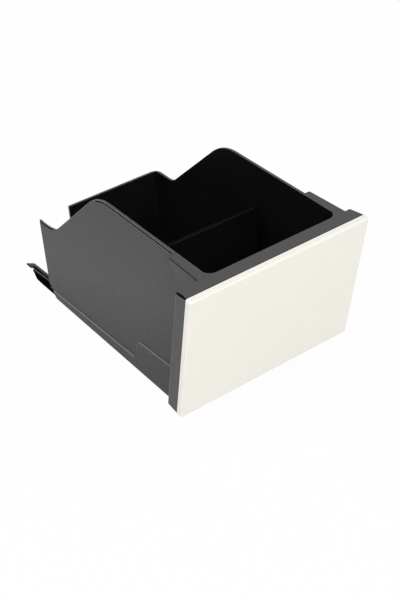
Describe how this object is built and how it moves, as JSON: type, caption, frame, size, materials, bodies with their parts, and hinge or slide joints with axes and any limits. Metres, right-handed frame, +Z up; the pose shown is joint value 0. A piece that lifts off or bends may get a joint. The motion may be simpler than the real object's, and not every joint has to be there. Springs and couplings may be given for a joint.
{
  "type": "waste drawer",
  "caption": "Pull-out waste drawer bin with an ivory sloped front panel, a lift-out divider, slide runners and sprung latch tongues.",
  "frame": {"origin": "bottom centre of the whole drawer, on the plane it rests on", "axes": "+X to the right seen from the front, +Y from the front panel to the rear, +Z up"},
  "size_m": [0.1454, 0.2658, 0.131],
  "materials": {
    "grey_plastic": "fine texture outside, polished black inside",
    "ivory_plastic": "satin",
    "black_plastic": "polished",
    "steel": "zinc plated"
  },
  "bodies": {
    "drawer": {"bin_body": "grey_plastic", "front_carrier": "grey_plastic", "front_panel": "ivory_plastic", "left_runner": "black_plastic", "right_runner": "black_plastic", "latch_pins": "steel", "carrier_screws": "steel", "runner_screws": "steel"},
    "divider": {"divider": "black_plastic"},
    "left_latch": {"left_latch": "black_plastic"},
    "right_latch": {"right_latch": "black_plastic"}
  },
  "joints": [
    {"name": "divider_lift", "type": "slide", "parent": "drawer", "child": "divider", "axis": [0, 0, 1], "range_m": [0, 0.12]},
    {"name": "left_latch_flex", "type": "hinge", "parent": "drawer", "child": "left_latch", "pos_m": [-0.044, 0.07647, 0.006], "axis": [0, 0, 1], "range_deg": [-4, 0], "stiffness_Nm_per_rad": 0.8},
    {"name": "right_latch_flex", "type": "hinge", "parent": "drawer", "child": "right_latch", "pos_m": [0.0546, 0.07647, 0.006], "axis": [0, 0, 1], "range_deg": [0, 4], "stiffness_Nm_per_rad": 0.8}
  ]
}
